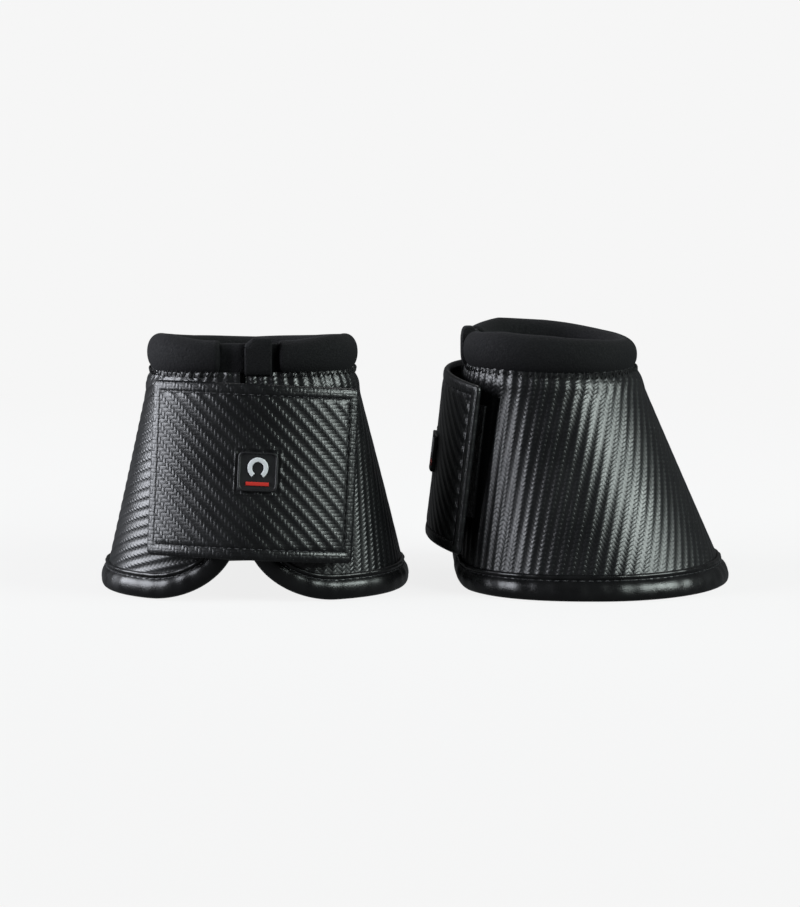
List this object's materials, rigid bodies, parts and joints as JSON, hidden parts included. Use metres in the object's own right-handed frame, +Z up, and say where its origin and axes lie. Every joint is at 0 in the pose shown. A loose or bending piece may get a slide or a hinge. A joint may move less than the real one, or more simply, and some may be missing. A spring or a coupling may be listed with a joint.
{
  "type": "over-reach boots",
  "caption": "Pair of bell-shaped over-reach boots for a horse's front hooves, with rolled collars, bound lower edges and hook-and-loop front laps.",
  "frame": {"origin": "ground level, centre of the box round the pair as it stands", "axes": "+X from the first boot to the second, -Y the side the first boot's closure faces, +Z up"},
  "size_m": [0.3493, 0.1863, 0.1437],
  "materials": {
    "carbon_pu": "PU film embossed with a raised twill, satin gloss",
    "binding_pu": "smooth PU leathercloth, glossy",
    "collar_neoprene": "knitted nylon face on neoprene, matt",
    "lining_neoprene": "knitted nylon face, matt",
    "foam": "closed cell foam",
    "hook_tape": "woven nylon tape with moulded hooks",
    "loop_tape": "brushed nylon loop pile",
    "lap_webbing": "woven nylon over PU",
    "badge_rubber": "soft moulded rubber, satin",
    "motif_rubber": "soft moulded rubber, light grey"
  },
  "bodies": {
    "left_boot": {"left_outer_shell": "carbon_pu", "left_neoprene_lining": "lining_neoprene", "left_edge_binding": "binding_pu", "left_loop_panel": "loop_tape", "left_inner_lap_root_strip": "lap_webbing", "left_collar_cover": "collar_neoprene", "left_collar_foam_roll": "foam", "left_collar_tongue": "collar_neoprene", "left_collar_tab": "collar_neoprene", "left_outer_flap_anchor": "lap_webbing"},
    "left_outer_lap": {"left_outer_flap_skin": "carbon_pu", "left_outer_flap_padding": "foam", "left_outer_flap_backing": "lining_neoprene", "left_outer_flap_hem": "carbon_pu", "left_outer_flap_hook_tape": "hook_tape", "left_badge": "badge_rubber", "left_badge_motif": "motif_rubber"},
    "left_inner_lap_closure": {"left_inner_lap": "lap_webbing", "left_inner_lap_hook_tape": "hook_tape"},
    "right_boot": {"right_outer_shell": "carbon_pu", "right_neoprene_lining": "lining_neoprene", "right_edge_binding": "binding_pu", "right_loop_panel": "loop_tape", "right_inner_lap_root_strip": "lap_webbing", "right_collar_cover": "collar_neoprene", "right_collar_foam_roll": "foam", "right_collar_tongue": "collar_neoprene", "right_collar_tab": "collar_neoprene", "right_outer_flap_anchor": "lap_webbing"},
    "right_outer_lap": {"right_outer_flap_skin": "carbon_pu", "right_outer_flap_padding": "foam", "right_outer_flap_backing": "lining_neoprene", "right_outer_flap_hem": "carbon_pu", "right_outer_flap_hook_tape": "hook_tape", "right_badge": "badge_rubber", "right_badge_motif": "motif_rubber"},
    "right_inner_lap_closure": {"right_inner_lap": "lap_webbing", "right_inner_lap_hook_tape": "hook_tape"}
  },
  "joints": [
    {"name": "right_boot_set_apart", "type": "slide", "parent": "left_boot", "child": "right_boot", "axis": [1, 0, 0], "range_m": [0, 0.16]},
    {"name": "left_outer_lap_opens", "type": "hinge", "parent": "left_boot", "child": "left_outer_lap", "pos_m": [-0.1429, -0.06782, 0.07174], "axis": [-0.0451, -0.1132, -0.9925], "range_deg": [0, 130]},
    {"name": "left_inner_lap_opens", "type": "hinge", "parent": "left_boot", "child": "left_inner_lap_closure", "pos_m": [-0.1323, -0.06956, 0.069], "axis": [0, -0.0886, -0.9961], "range_deg": [0, 65]},
    {"name": "right_outer_lap_opens", "type": "hinge", "parent": "right_boot", "child": "right_outer_lap", "pos_m": [0.02955, 0.06133, 0.07174], "axis": [-0.1132, 0.0451, -0.9925], "range_deg": [0, 130]},
    {"name": "right_inner_lap_opens", "type": "hinge", "parent": "right_boot", "child": "right_inner_lap_closure", "pos_m": [0.02781, 0.05073, 0.069], "axis": [-0.0886, 0, -0.9961], "range_deg": [0, 65]}
  ],
  "couplings": [
    {"joint": "left_inner_lap_opens", "follows": "left_outer_lap_opens", "ratio": 0.5},
    {"joint": "right_inner_lap_opens", "follows": "right_outer_lap_opens", "ratio": 0.5},
    {"joint": "right_boot_set_apart", "follows": "right_outer_lap_opens", "m_per_rad": 0.0704}
  ]
}
